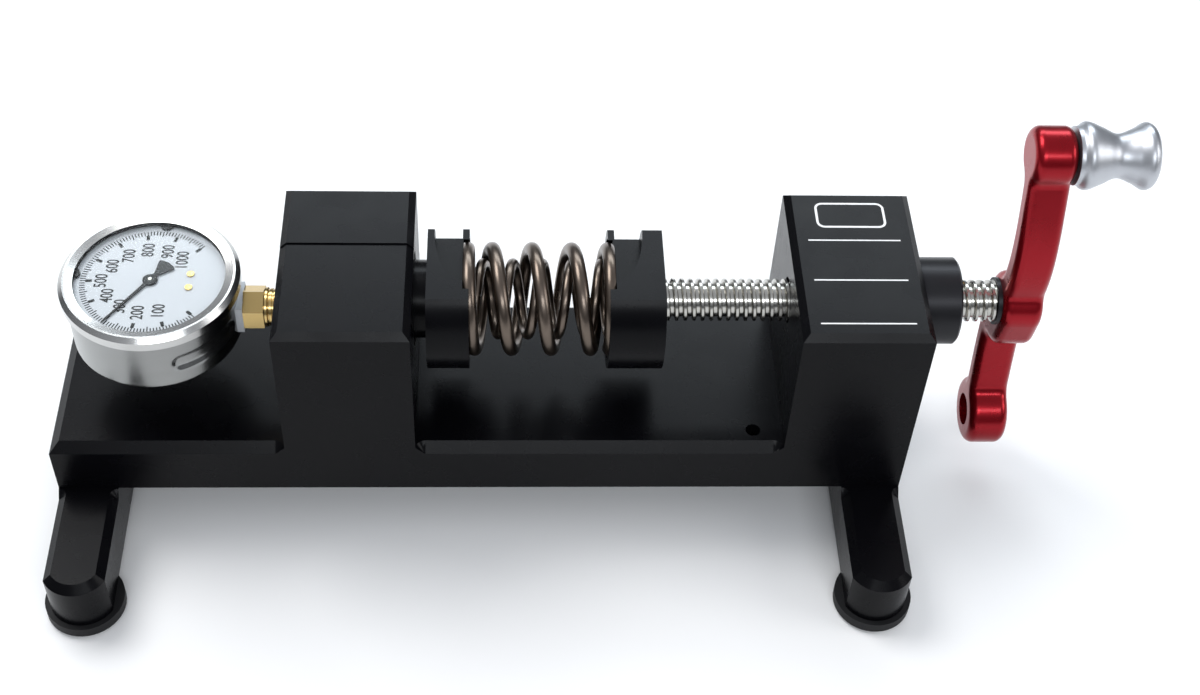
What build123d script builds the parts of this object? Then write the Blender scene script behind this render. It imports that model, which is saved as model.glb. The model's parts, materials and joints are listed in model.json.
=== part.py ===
"""Bench-top spring tester: a crank-driven screw squeezes a coil spring between two cups.

Units are millimetres.  +X runs from the gauge towards the crank, +Y to the rear, +Z up.
The origin lies on the bench, under the middle of the whole tester.
"""
import os
from math import cos, pi, radians, sin, sqrt, tan

from build123d import *

os.makedirs("parts", exist_ok=True)

# ---------------------------------------------------------------- driving dimensions
base_depth = 74.0          # base plate, front to rear
base_thickness = 24.0
base_bevel = 3.6           # stopped bevel along the plate's top edges

left_tower_inset = 86.0    # left end of the plate to the cylinder block
left_tower_width = 48.0
right_tower_width = 47.0
tower_height = 61.5
tower_bevel = 2.5
land_step = 0.6            # the rear of the cylinder block's top stands this much higher
land_front = 7.8           # front edge of that raised land

leg_width = 22.2
leg_height = 22.2
leg_overhang = 46.5        # how far each cross bar reaches past the plate
leg_end_bulge = 1.5        # the bar's ends are rounded this much wider than half its width
leg_bevel = 3.0
leg_bevel_stop = 3.5       # plain length of bar between plate and bevel
foot_radius = 14.6
foot_height = 5.9

axis_above_base = 41.2     # screw and piston axis above the plate's top
lead = 3.175               # 8 threads per inch
screw_radius = 7.8
thread_depth = 1.6
piston_radius = 14.3       # one square inch of piston area
piston_reach = 4.8         # piston showing between cylinder block and cup
piston_length = 30.0
cylinder_depth = 33.0      # bore depth from the block's right face

cup_radius = 25.4
cup_flat = 18.5            # height of the cup's flat above its axis
left_cup_width = 15.2
right_cup_width = 20.0
pocket_radius = 22.2       # shallow pocket that seats the spring
pocket_depth = 2.4
spring_height = 55.1       # spring between the two pocket floors
screw_room = 46.7          # bare screw between the right cup and the right tower
notch_width = 10.3         # caliper notch, along X at the rear
notch_reach = 25.7         # caliper notch, from the rear edge of the flat forwards
notch_depth = 12.0

outer_coil_radius = 20.9
outer_wire = 5.2
outer_turns = 4.5
inner_wire = 3.8
coil_clearance = 0.8       # between the outer and the inner spring
inner_turns = 5.5

collar_radius = 16.1
collar_length = 15.1
nut_shank_radius = 11.5
insert_radius = 10.0
nut_length = 34.0          # length of the nut's shank inside the tower
screw_shown = 16.4         # screw between collar and crank

crank_thickness = 15.0
crank_throw = 65.0
hub_radius = 11.4
hub_drop = 9.0             # the hub's lower lobe below the screw's axis
hub_shift = 2.0            # and to the rear of it
grip_boss_radius = 10.5
spare_boss_radius = 13.2
shank_radius = 6.3         # plain end of the screw inside the crank's hub
spare_hole_radius = 6.35

knob_length = 28.0
knob_radius = 12.0
knob_waist = 7.8
knob_bolt_radius = 4.0

gauge_offset = 39.65       # gauge centre from the left end of the plate
gauge_drop = 4.7           # gauge stem below the piston axis
bezel_radius = 32.2
bezel_height = 5.0
window_radius = 27.0
case_radius = 30.6
case_wall = 1.0
case_floor_height = 26.0   # underside of the case above the plate
gauge_top_height = 53.5    # top of the bezel above the plate

running_fit = 0.05         # radial, shaft in bore
snug = 0.05                # gap around pieces that only touch
free_gap = 0.4             # gap between pieces that move apart
seat_gap = 0.1             # gap between the spring's ends and the cup seats

scale_sweep = 270.0        # degrees from zero to full scale
load_share = 0.296         # part of full scale that the clamped spring shows
pointer_reach = 25.0
pointer_tail = 10.0
pointer_tail_half = 3.5

# ---------------------------------------------------------------- places along X and Z
cup_span = left_cup_width + spring_height + right_cup_width - 2 * pocket_depth
to_screw = left_tower_inset + left_tower_width + piston_reach + cup_span
base_length = to_screw + screw_room + right_tower_width
inner_coil_radius = outer_coil_radius - outer_wire - coil_clearance
crank_face = base_length + collar_length + screw_shown
knob_start = crank_face + crank_thickness + 0.5
overall_length = knob_start + knob_length
foot_overhang = foot_radius - leg_width / 2
leg_end_radius = leg_width / 2 + leg_end_bulge
left_end = -(overall_length - foot_overhang) / 2
right_end = left_end + base_length
base_mid = (left_end + right_end) / 2

leg_bottom = foot_height
base_bottom = leg_bottom + leg_height
base_top = base_bottom + base_thickness
tower_top = base_top + tower_height
axis_z = base_top + axis_above_base
front, rear = -base_depth / 2, base_depth / 2

left_tower_x0 = left_end + left_tower_inset
left_tower_x1 = left_tower_x0 + left_tower_width
right_tower_x0 = right_end - right_tower_width
left_cup_x0 = left_tower_x1 + piston_reach
left_cup_x1 = left_cup_x0 + left_cup_width
left_seat = left_cup_x1 - pocket_depth
right_seat = left_seat + spring_height
right_cup_x0 = right_seat - pocket_depth
right_cup_x1 = right_cup_x0 + right_cup_width
collar_x1 = right_end + collar_length
crank_x0 = left_end + crank_face
crank_x1 = crank_x0 + crank_thickness
knob_x0 = left_end + knob_start
gauge_x = left_end + gauge_offset
stem_z = axis_z - gauge_drop
leg_centres = (left_end + leg_width / 2, right_end - leg_width / 2)
foot_y = base_depth / 2 + leg_overhang - leg_end_radius

axis_plane = Plane(origin=(0, 0, axis_z), x_dir=(1, 0, 0), z_dir=(0, -1, 0))
screw_axis = Axis((0, 0, axis_z), (1, 0, 0))


def across(x, z=axis_z):
    """A plane square to the screw axis: local x is +Y, local y is +Z."""
    return Plane(origin=(x, 0, z), x_dir=(0, 1, 0), z_dir=(1, 0, 0))


def save(piece, name):
    """Labels a finished piece and writes it as its own node."""
    piece.part.label = name
    export_step(piece.part, f"parts/{name}.step")


def bore(plane, radius, depth, offset=(0, 0)):
    """Cuts a round hole from a plane along its normal."""
    with BuildSketch(plane) as mouth:
        with Locations(offset):
            Circle(radius)
    extrude(mouth.sketch, amount=depth, mode=Mode.SUBTRACT)


def rod(plane, radius, length, offset=(0, 0)):
    """Adds a round rod from a plane along its normal."""
    with BuildSketch(plane) as section:
        with Locations(offset):
            Circle(radius)
    extrude(section.sketch, amount=length)


def turned(points, axis=screw_axis, plane=axis_plane):
    """Adds a turned shape from its half profile, given as (along, radius) points."""
    with BuildSketch(plane) as profile:
        with BuildLine():
            Polyline(*points, close=True)
        make_face()
    revolve(profile.sketch, axis=axis)


def sleeve(x0, x1, inner, outer):
    """Adds a plain sleeve on the screw axis."""
    turned([(x0, inner), (x1, inner), (x1, outer), (x0, outer)])


# ---------------------------------------------------------------- fasteners
class Cap:
    """Sizes of one socket-head cap screw."""

    def __init__(self, shank, length):
        self.shank = shank
        self.length = length
        self.head = shank * 1.65
        self.head_height = shank * 2
        self.socket = shank * 0.9


tower_cap = Cap(3.0, 30.0)
leg_cap = Cap(3.0, 18.0)
foot_cap = Cap(1.75, 10.0)


def cap_screws(places, seat_z, cap):
    """Adds cap screws that point up, with the heads' upper sides at seat_z."""
    with BuildSketch(Plane.XY.offset(seat_z - cap.head_height)) as heads:
        with Locations(*places):
            Circle(cap.head)
    extrude(heads.sketch, amount=cap.head_height)
    with BuildSketch(Plane.XY.offset(seat_z)) as shanks:
        with Locations(*places):
            Circle(cap.shank)
    extrude(shanks.sketch, amount=cap.length)
    with BuildSketch(Plane.XY.offset(seat_z - cap.head_height)) as sockets:
        with Locations(*places):
            RegularPolygon(cap.socket, 6)
    extrude(sockets.sketch, amount=cap.head_height * 0.55, mode=Mode.SUBTRACT)


def shank_holes(places, bottom, depth, cap):
    """Cuts the holes that take cap screw shanks, upwards from the level given."""
    with BuildSketch(Plane.XY.offset(bottom)) as shanks:
        with Locations(*places):
            Circle(cap.shank + snug)
    extrude(shanks.sketch, amount=depth, mode=Mode.SUBTRACT)


def cap_pockets(places, bottom, seat_z, top, cap):
    """Cuts the counterbores and through holes that take cap screws from below."""
    with BuildSketch(Plane.XY.offset(bottom)) as heads:
        with Locations(*places):
            Circle(cap.head + 0.3)
    extrude(heads.sketch, amount=seat_z - bottom, mode=Mode.SUBTRACT)
    shank_holes(places, seat_z, top - seat_z, cap)


screw_inset = 9.0
tower_seat = base_bottom + tower_cap.head_height + 1.0
leg_seat = leg_bottom + leg_cap.head_height + 4.0
foot_seat = foot_height - 1.2
left_tower_places = [
    (x, y)
    for x in (left_tower_x0 + screw_inset, left_tower_x1 - screw_inset)
    for y in (front + screw_inset, rear - screw_inset)
]
right_tower_places = [
    (x, y)
    for x in (right_tower_x0 + screw_inset, right_end - screw_inset)
    for y in (front + screw_inset, rear - screw_inset)
]
leg_places = [(x, y) for x in leg_centres for y in (-base_depth * 0.22, base_depth * 0.22)]
foot_places = [(x, y) for x in leg_centres for y in (-foot_y, foot_y)]
accessory_hole = (right_tower_x0 - 11.0, front + 8.5)
accessory_radius = 2.75


# ---------------------------------------------------------------- base plate
def stopped_bevel(y_face, inward, x0, x1, size):
    """Cuts a 45 degree bevel along X that runs out in a cone at each end."""
    with BuildSketch(Plane.YZ.offset(x0)) as wedge:
        with BuildLine():
            Polyline(
                (y_face, base_top),
                (y_face + inward * size, base_top),
                (y_face, base_top - size),
                close=True,
            )
        make_face()
    extrude(wedge.sketch, amount=x1 - x0, mode=Mode.SUBTRACT)
    with Locations((x0, y_face, base_top - size / 2), (x1, y_face, base_top - size / 2)):
        Cone(0, size, size, mode=Mode.SUBTRACT)


with BuildPart() as base_plate:
    with BuildSketch(Plane.XY.offset(base_bottom)):
        with Locations((base_mid, 0)):
            Rectangle(base_length, base_depth)
    extrude(amount=base_thickness)
    left_top_edge = base_plate.faces().sort_by(Axis.Z)[-1].edges().sort_by(Axis.X)[0]
    chamfer(left_top_edge, base_bevel)
    for y_face, inward in ((front, 1), (rear, -1)):
        stopped_bevel(y_face, inward, left_end, left_tower_x0 - base_bevel, base_bevel)
        gap_start, gap_end = left_tower_x1 + base_bevel, right_tower_x0 - base_bevel
        stopped_bevel(y_face, inward, gap_start, gap_end, base_bevel)
    cap_pockets(left_tower_places + right_tower_places, base_bottom, tower_seat, base_top, tower_cap)
    shank_holes(leg_places, base_bottom, leg_seat + leg_cap.length + 1 - base_bottom, leg_cap)
    bore(Plane.XY.offset(base_bottom), accessory_radius, base_thickness, accessory_hole)
save(base_plate, "base_plate")


# ---------------------------------------------------------------- cross-bar legs and feet
def leg_bar(x_centre, places, feet):
    """Adds one cross bar with round ends and bevels that stop short of the plate."""
    half = leg_width / 2
    tip = foot_y + leg_end_radius
    side_end = foot_y + sqrt(leg_end_radius**2 - half**2)
    with BuildSketch() as outline:
        with BuildLine():
            Line((half, -side_end), (half, side_end))
            ThreePointArc((half, side_end), (0, tip), (-half, side_end))
            Line((-half, side_end), (-half, -side_end))
            ThreePointArc((-half, -side_end), (0, -tip), (half, -side_end))
        make_face()
    bevel_start = base_bottom - leg_bevel
    extrude(Pos(x_centre, 0, leg_bottom) * outline.sketch, amount=leg_height - leg_bevel)
    extrude(Pos(x_centre, 0, bevel_start) * outline.sketch, amount=leg_bevel, taper=45)
    plain_half = base_depth / 2 + leg_bevel_stop
    with BuildSketch(Plane.XY.offset(leg_bottom)) as middle:
        with Locations((x_centre, 0)):
            Rectangle(leg_width, 2 * plain_half)
    extrude(middle.sketch, amount=leg_height)
    corners = [
        (x_centre + sx * leg_width / 2, sy * plain_half, base_bottom - leg_bevel / 2)
        for sx in (-1, 1)
        for sy in (-1, 1)
    ]
    with Locations(*corners):
        Cone(0, leg_bevel, leg_bevel, mode=Mode.SUBTRACT)
    cap_pockets(places, leg_bottom, leg_seat, base_bottom, leg_cap)
    shank_holes(feet, leg_bottom, foot_seat + foot_cap.length - leg_bottom + 1, foot_cap)


with BuildPart() as left_leg_bar:
    leg_bar(leg_centres[0], leg_places[:2], foot_places[:2])
save(left_leg_bar, "left_leg_bar")

with BuildPart() as right_leg_bar:
    leg_bar(leg_centres[1], leg_places[2:], foot_places[2:])
save(right_leg_bar, "right_leg_bar")

with BuildPart() as rubber_feet:
    with BuildSketch():
        with Locations(*foot_places):
            Circle(foot_radius - 1.2)
    extrude(amount=1.6)
    with BuildSketch(Plane.XY.offset(1.6)):
        with Locations(*foot_places):
            Circle(foot_radius)
    extrude(amount=foot_height - 1.6)
    cap_pockets(foot_places, 0, foot_seat, foot_height, foot_cap)
save(rubber_feet, "rubber_feet")

with BuildPart() as foot_screws:
    cap_screws(foot_places, foot_seat, foot_cap)
save(foot_screws, "foot_screws")

with BuildPart() as leg_screws:
    cap_screws(leg_places, leg_seat, leg_cap)
save(leg_screws, "leg_screws")

with BuildPart() as tower_screws:
    cap_screws(left_tower_places + right_tower_places, tower_seat, tower_cap)
save(tower_screws, "tower_screws")

# ---------------------------------------------------------------- cylinder block (left tower)
wiper_radius = piston_radius + 3.0
wiper_width = 3.5
port_radius = 6.6
port_depth = left_tower_width - cylinder_depth + 2.0
fill_radius = 4.0
fill_depth = rear - piston_radius + 4.0
tap_depth = tower_seat + tower_cap.length - base_top + 1
fill_x = left_tower_x1 - cylinder_depth + 4

with BuildPart() as left_tower:
    tower_mid = (left_tower_x0 + left_tower_x1) / 2
    with BuildSketch(Plane.XY.offset(base_top)):
        with Locations((tower_mid, 0)):
            Rectangle(left_tower_width, base_depth)
    extrude(amount=tower_height)
    chamfer(left_tower.faces().sort_by(Axis.Z)[-1].edges(), tower_bevel)
    with BuildSketch(Plane.XY.offset(base_top)):
        with Locations((tower_mid, (land_front + rear) / 2)):
            Rectangle(left_tower_width, rear - land_front)
    extrude(amount=tower_height + land_step)
    land_edges = left_tower.faces().sort_by(Axis.Z)[-1].edges().sort_by(Axis.Y)[1:]
    chamfer(land_edges, tower_bevel)
    bore(across(left_tower_x1), piston_radius + running_fit, -cylinder_depth)
    bore(across(left_tower_x1), wiper_radius, -wiper_width)
    bore(across(left_tower_x0), port_radius, port_depth, (0, stem_z - axis_z))
    bore(
        Plane(origin=(fill_x, rear, axis_z), z_dir=(0, -1, 0)),
        fill_radius,
        fill_depth,
    )
    shank_holes(left_tower_places, base_top, tap_depth, tower_cap)
save(left_tower, "left_tower")

with BuildPart() as fill_plug:
    plug_plane = Plane(origin=(fill_x, rear + 2.5, axis_z), z_dir=(0, -1, 0))
    rod(plug_plane, fill_radius + 2.0, 2.5)
    rod(plug_plane, fill_radius - snug, 12.0)
    with BuildSketch(plug_plane) as hex_recess:
        RegularPolygon(2.9, 6)
    extrude(hex_recess.sketch, amount=5, mode=Mode.SUBTRACT)
save(fill_plug, "fill_plug")

with BuildPart() as piston_wiper:
    sleeve(left_tower_x1 - wiper_width, left_tower_x1, piston_radius + running_fit, wiper_radius)
save(piston_wiper, "piston_wiper")

# ---------------------------------------------------------------- piston and left cup
piston_x0 = left_cup_x0 - piston_length
seal_x = piston_x0 + 5.0
seal_width = 3.0
seal_floor = piston_radius - 2.6
cup_bolt_radius = 3.0
cup_bolt_head = 5.0
cup_bolt_reach = 12.0

with BuildPart() as load_piston:
    sleeve(piston_x0, left_cup_x0, 0, piston_radius)
    seal_groove = [(seal_x, seal_floor), (seal_x + seal_width, seal_floor)]
    seal_groove += [(seal_x + seal_width, piston_radius + 1), (seal_x, piston_radius + 1)]
    with BuildSketch(axis_plane) as groove:
        with BuildLine():
            Polyline(*seal_groove, close=True)
        make_face()
    revolve(groove.sketch, axis=screw_axis, mode=Mode.SUBTRACT)
    bore(across(left_cup_x0), cup_bolt_radius + snug, -cup_bolt_reach - 1)
save(load_piston, "load_piston")

with BuildPart() as piston_seal:
    sleeve(seal_x + snug, seal_x + seal_width - snug, seal_floor + snug, piston_radius)
save(piston_seal, "piston_seal")


def cup(x0, x1, seat, facing):
    """Adds a spring cup: flat on top, shallow seat pocket and caliper notch behind it.

    facing is +1 when the pocket opens towards +X and -1 when it opens towards -X.
    """
    sleeve(x0, x1, 0, cup_radius)
    with BuildSketch(Plane.XY.offset(axis_z + cup_flat)) as above_flat:
        with Locations(((x0 + x1) / 2, 0)):
            Rectangle(3 * cup_radius, 3 * cup_radius)
    extrude(above_flat.sketch, amount=cup_radius, mode=Mode.SUBTRACT)
    bore(across(seat), pocket_radius, facing * 2 * pocket_depth)
    flat_half = sqrt(cup_radius**2 - cup_flat**2)
    with BuildSketch(Plane.XY.offset(axis_z + cup_flat)) as notch:
        with BuildLine():
            first_angle = 180 if facing > 0 else 270
            outer_x = seat - facing * notch_width
            EllipticalCenterArc((seat, flat_half), notch_width, notch_reach, first_angle, arc_size=90)
            Line((seat, flat_half - notch_reach), (seat, cup_radius + 1))
            Line((seat, cup_radius + 1), (outer_x, cup_radius + 1))
            Line((outer_x, cup_radius + 1), (outer_x, flat_half))
        make_face()
    extrude(notch.sketch, amount=-notch_depth, mode=Mode.SUBTRACT)


with BuildPart() as left_cup:
    cup(left_cup_x0, left_cup_x1, left_seat, 1)
    bore(across(left_cup_x0), cup_bolt_radius + snug, left_cup_width)
    bore(across(left_seat), cup_bolt_head + 0.2, -5.4)
save(left_cup, "left_cup")

with BuildPart() as cup_screw:
    rod(across(left_seat - 0.4), cup_bolt_head, -5.0)
    rod(across(left_seat - 5.4), cup_bolt_radius, left_cup_x0 - cup_bolt_reach - left_seat + 5.4)
    with BuildSketch(across(left_seat - 0.4)) as hex_socket:
        RegularPolygon(2.7, 6)
    extrude(hex_socket.sketch, amount=-3, mode=Mode.SUBTRACT)
save(cup_screw, "cup_screw")

# ---------------------------------------------------------------- right cup and its thrust bearing
bearing_radius = 12.0
washer_thickness = 1.2
ball_radius = 1.5
ball_circle = 8.5
ball_count = 12
pilot_radius = 5.0
pilot_length = 6.0
bearing_depth = 2 * washer_thickness + 2 * ball_radius + 1.5 + 2 * snug
bearing_floor = right_cup_x1 - bearing_depth
pilot_x0 = bearing_floor - pilot_length
lock_x = bearing_floor - 3.0
lock_radius = 2.0
lock_length = 9.0
groove_floor = pilot_radius - 1.2

with BuildPart() as right_cup:
    cup(right_cup_x0, right_cup_x1, right_seat, -1)
    bore(across(right_cup_x1), bearing_radius, -bearing_depth)
    bore(across(bearing_floor), pilot_radius + running_fit, -pilot_length - 0.6)
    bore(Plane(origin=(lock_x, 0, axis_z - cup_radius)), lock_radius + snug, cup_radius)
save(right_cup, "right_cup")

with BuildPart() as cup_lock_screw:
    rod(Plane(origin=(lock_x, 0, axis_z - groove_floor - 0.3)), lock_radius * 0.4, -1.2)
    rod(Plane(origin=(lock_x, 0, axis_z - groove_floor - 1.5)), lock_radius, -lock_length)
save(cup_lock_screw, "cup_lock_screw")

with BuildPart() as fixed_bearing_washer:
    sleeve(bearing_floor, bearing_floor + washer_thickness, pilot_radius + 0.5, bearing_radius - 0.2)
save(fixed_bearing_washer, "fixed_bearing_washer")

ball_x = bearing_floor + washer_thickness + snug + ball_radius
with BuildPart() as bearing_balls:
    for step in range(ball_count):
        angle = 2 * pi * step / ball_count
        with Locations((ball_x, ball_circle * cos(angle), axis_z + ball_circle * sin(angle))):
            Sphere(ball_radius)
save(bearing_balls, "bearing_balls")

turning_washer_x = ball_x + ball_radius + snug
with BuildPart() as turning_bearing_washer:
    sleeve(turning_washer_x, turning_washer_x + washer_thickness, pilot_radius, bearing_radius - 0.4)
save(turning_bearing_washer, "turning_bearing_washer")

# ---------------------------------------------------------------- lead screw
thread_start = turning_washer_x + washer_thickness
washer_width = 1.6
thread_end = crank_x0 - washer_width
shank_end = crank_x1 - 3.0
core_radius = screw_radius - thread_depth
thread_count = int((thread_end - thread_start) / lead)

with BuildPart() as lead_screw:
    outline = [(pilot_x0, 0), (pilot_x0, pilot_radius)]
    outline += [(lock_x - 1.2, pilot_radius), (lock_x - 1.2, groove_floor)]
    outline += [(lock_x + 1.2, groove_floor), (lock_x + 1.2, pilot_radius)]
    outline += [(thread_start, pilot_radius)]
    for turn in range(thread_count):
        x = thread_start + turn * lead
        outline += [(x, core_radius), (x + 0.36 * lead, core_radius)]
        outline += [(x + 0.5 * lead, screw_radius), (x + 0.86 * lead, screw_radius)]
    outline += [(thread_start + thread_count * lead, core_radius), (thread_end, core_radius)]
    outline += [(thread_end, shank_radius - 0.2), (crank_x0, shank_radius - 0.2)]
    outline += [(crank_x0, shank_radius), (shank_end, shank_radius), (shank_end, 0)]
    turned(outline)
    bore(across(shank_end), 2.5 + snug, -14.0)
save(lead_screw, "lead_screw")

# ---------------------------------------------------------------- right tower and nut
nut_x0 = right_end - nut_length
entry_radius = screw_radius + 0.8
nut_screw_x = right_end - nut_length / 2
nut_screw_radius = 3.0

with BuildPart() as right_tower:
    with BuildSketch(Plane.XY.offset(base_top)):
        with Locations(((right_tower_x0 + right_end) / 2, 0)):
            Rectangle(right_tower_width, base_depth)
    extrude(amount=tower_height)
    chamfer(right_tower.faces().sort_by(Axis.Z)[-1].edges(), tower_bevel)
    bore(across(right_end), nut_shank_radius, -nut_length)
    bore(across(right_tower_x0), entry_radius, right_tower_width)
    bore(
        Plane(origin=(nut_screw_x, rear, axis_z), z_dir=(0, -1, 0)),
        nut_screw_radius + snug,
        rear - nut_shank_radius + 1,
    )
    shank_holes(right_tower_places, base_top, tap_depth, tower_cap)
save(right_tower, "right_tower")

with BuildPart() as flange_nut:
    sleeve(nut_x0 + snug, right_end, insert_radius, nut_shank_radius - snug)
    sleeve(right_end, collar_x1, insert_radius, collar_radius)
    outer_rim = flange_nut.edges().filter_by(GeomType.CIRCLE).sort_by(Axis.X)[-2:]
    chamfer(outer_rim.sort_by(SortBy.RADIUS)[-1], 0.8)
    lock_dimple = Plane(origin=(nut_screw_x, nut_shank_radius + 1, axis_z), z_dir=(0, -1, 0))
    bore(lock_dimple, nut_screw_radius + snug, 2.0)
save(flange_nut, "flange_nut")

with BuildPart() as thread_insert:
    sleeve(nut_x0 + snug, collar_x1 - 0.6, screw_radius + running_fit, insert_radius - snug)
save(thread_insert, "thread_insert")

with BuildPart() as nut_lock_screw:
    lock_plane = Plane(origin=(nut_screw_x, rear - 14, axis_z), z_dir=(0, -1, 0))
    rod(lock_plane, nut_screw_radius, rear - 14 - nut_shank_radius + 0.8)
    with BuildSketch(lock_plane) as lock_socket:
        RegularPolygon(1.7, 6)
    extrude(lock_socket.sketch, amount=4, mode=Mode.SUBTRACT)
save(nut_lock_screw, "nut_lock_screw")

# ---------------------------------------------------------------- crank
grip_lean = 8.5            # degrees that the grip arm leans to the rear
spare_lean = 1.2           # degrees that the spare arm leans to the rear
grip = (crank_throw * sin(radians(grip_lean)), crank_throw * cos(radians(grip_lean)))
spare = (crank_throw * sin(radians(spare_lean)), -crank_throw * cos(radians(spare_lean)))
grip_arm_half = 5.5        # half the width of the arm that carries the knob
spare_arm_half = 4.8
knob_bolt_grip = 11.0      # length of knob bolt inside the crank
crank_edge = 3.4           # rounding along the crank's edges
crank_blend = 5.0          # rounding where the arms meet the bosses


def arm_band(middle, arm_half):
    """Adds a curved arm of even width along the middle line through the points given."""
    with BuildSketch(across(crank_x0)) as band:
        with BuildLine():
            front_edge = Spline(*[(y - arm_half, z) for y, z in middle])
            rear_edge = Spline(*[(y + arm_half, z) for y, z in middle])
            Line(front_edge @ 0, rear_edge @ 0)
            Line(front_edge @ 1, rear_edge @ 1)
        make_face()
    return band.sketch


with BuildPart() as crank_arm:
    grip_middle = [(1.0, 0), (-2.7, 0.4 * grip[1]), (2.0, 0.7 * grip[1]), (grip[0] - 1.5, grip[1])]
    spare_middle = [(5.0, 0), (7.8, 0.42 * spare[1]), (5.6, 0.64 * spare[1]), (spare[0] + 1.0, spare[1])]
    grip_band = arm_band(grip_middle, grip_arm_half)
    spare_band = arm_band(spare_middle, spare_arm_half)
    with BuildSketch(across(crank_x0)) as outline:
        Circle(hub_radius)
        with Locations((hub_shift, -hub_drop)):
            Circle(hub_radius)
        make_hull()
        with Locations(grip):
            Circle(grip_boss_radius)
        with Locations(spare):
            Circle(spare_boss_radius)
        add(across(crank_x0).to_local_coords(grip_band))
        add(across(crank_x0).to_local_coords(spare_band))
        inner_corners = [v for v in outline.vertices() if 4 < abs(v.Y) < crank_throw]
        fillet(inner_corners, crank_blend)
    extrude(outline.sketch, amount=crank_thickness)
    rims = crank_arm.faces().filter_by(Axis.X).edges()
    fillet(rims, crank_edge)
    bore(across(crank_x0), shank_radius + snug, crank_thickness)
    bore(across(crank_x1), 8.6, -3.0)
    bore(across(crank_x0), spare_hole_radius, crank_thickness, spare)
    bore(across(crank_x1), knob_bolt_radius * 0.8 + snug, -knob_bolt_grip - 0.5, grip)
save(crank_arm, "crank_arm")

with BuildPart() as crank_washer:
    sleeve(thread_end + snug, crank_x0 - snug, shank_radius, screw_radius + 1.0)
save(crank_washer, "crank_washer")

with BuildPart() as crank_screw:
    rod(across(shank_end + snug), 8.3, 2.8)
    rod(across(shank_end + 1.4), 2.5, -14.0)
    with BuildSketch(across(shank_end + snug + 2.8)) as screw_socket:
        RegularPolygon(2.0, 6)
    extrude(screw_socket.sketch, amount=-2.2, mode=Mode.SUBTRACT)
save(crank_screw, "crank_screw")

# ---------------------------------------------------------------- knob
grip_y, grip_z = grip[0], axis_z + grip[1]
knob_axis = Axis((0, grip_y, grip_z), (1, 0, 0))
knob_plane = Plane(origin=(0, grip_y, grip_z), x_dir=(1, 0, 0), z_dir=(0, -1, 0))
knob_end = knob_x0 + knob_length
bolt_head_depth = 6.0

with BuildPart() as knob:
    with BuildSketch(knob_plane) as knob_profile:
        with BuildLine():
            Line((knob_x0, knob_bolt_radius), (knob_x0, knob_radius - 1.6))
            Line((knob_x0, knob_radius - 1.6), (knob_x0 + 1.3, knob_radius - 1.6))
            Spline(
                (knob_x0 + 1.3, knob_radius - 1.6),
                (knob_x0 + 0.15 * knob_length, knob_radius),
                (knob_x0 + 0.54 * knob_length, knob_waist),
                (knob_x0 + 0.88 * knob_length, knob_radius - 0.2),
                (knob_end, knob_radius - 2.0),
            )
            Line((knob_end, knob_radius - 2.0), (knob_end, knob_bolt_radius))
            Line((knob_end, knob_bolt_radius), (knob_x0, knob_bolt_radius))
        make_face()
    revolve(knob_profile.sketch, axis=knob_axis)
    bore(across(knob_x0), knob_bolt_radius + running_fit, knob_length, grip)
    bore(across(knob_end), 6.9, -bolt_head_depth, grip)
save(knob, "knob")

with BuildPart() as knob_bolt:
    head_x = knob_end - bolt_head_depth + free_gap
    rod(across(head_x), 6.4, 4.6, grip)
    rod(across(crank_x1), knob_bolt_radius, head_x - crank_x1, grip)
    rod(across(crank_x1), knob_bolt_radius * 0.8, -knob_bolt_grip, grip)
    with BuildSketch(across(head_x + 4.6)) as bolt_socket:
        with Locations(grip):
            RegularPolygon(2.9, 6)
    extrude(bolt_socket.sketch, amount=-2.6, mode=Mode.SUBTRACT)
save(knob_bolt, "knob_bolt")

# ---------------------------------------------------------------- test springs
def coil(radius, wire, turns, left_handed):
    """Adds one helical spring between the two cup seats."""
    length = spring_height - wire - 2 * seat_gap
    start = across(left_seat + wire / 2 + seat_gap)
    path = Helix(length / turns, length, radius - wire / 2, lefthand=left_handed)
    placed = start.from_local_coords(path)
    with BuildSketch(Plane(origin=placed @ 0, z_dir=placed % 0)) as wire_section:
        Circle(wire / 2)
    sweep(wire_section.sketch, path=placed, is_frenet=True)


with BuildPart() as outer_spring:
    coil(outer_coil_radius, outer_wire, outer_turns, False)
save(outer_spring, "outer_spring")

with BuildPart() as inner_spring:
    coil(inner_coil_radius, inner_wire, inner_turns, True)
save(inner_spring, "inner_spring")

# ---------------------------------------------------------------- pressure gauge
case_floor = base_top + case_floor_height
bezel_top = base_top + gauge_top_height
bezel_bottom = bezel_top - bezel_height
lens_top = bezel_top - 0.9
lens_thickness = 1.0
gasket_height = 0.6
dial_thickness = 0.6
dial_z = lens_top - lens_thickness - gasket_height - 1.0 - dial_thickness
lens_radius = case_radius - case_wall - 0.3
pointer_z = dial_z + dial_thickness + 0.45
gauge_axis = Axis((gauge_x, 0, 0), (0, 0, 1))
gauge_plane = Plane(origin=(gauge_x, 0, 0), x_dir=(1, 0, 0), z_dir=(0, -1, 0))
socket_end = left_tower_x0 - 14.0
socket_width = 14.0
socket_height = 12.0
socket_start = gauge_x + 4.0


def dial_ring(inner, outer, z0, z1):
    """Adds a ring about the gauge's upright axis."""
    turned([(inner, z0), (outer, z0), (outer, z1), (inner, z1)], gauge_axis, gauge_plane)


def stem_block(grow, mode=Mode.ADD):
    """The square stem that runs from inside the case out through its wall."""
    with BuildSketch(across(socket_start, stem_z)) as stem:
        Rectangle(socket_width + 2 * grow, socket_height + 2 * grow)
    extrude(stem.sketch, amount=socket_end - socket_start, mode=mode)


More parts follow.
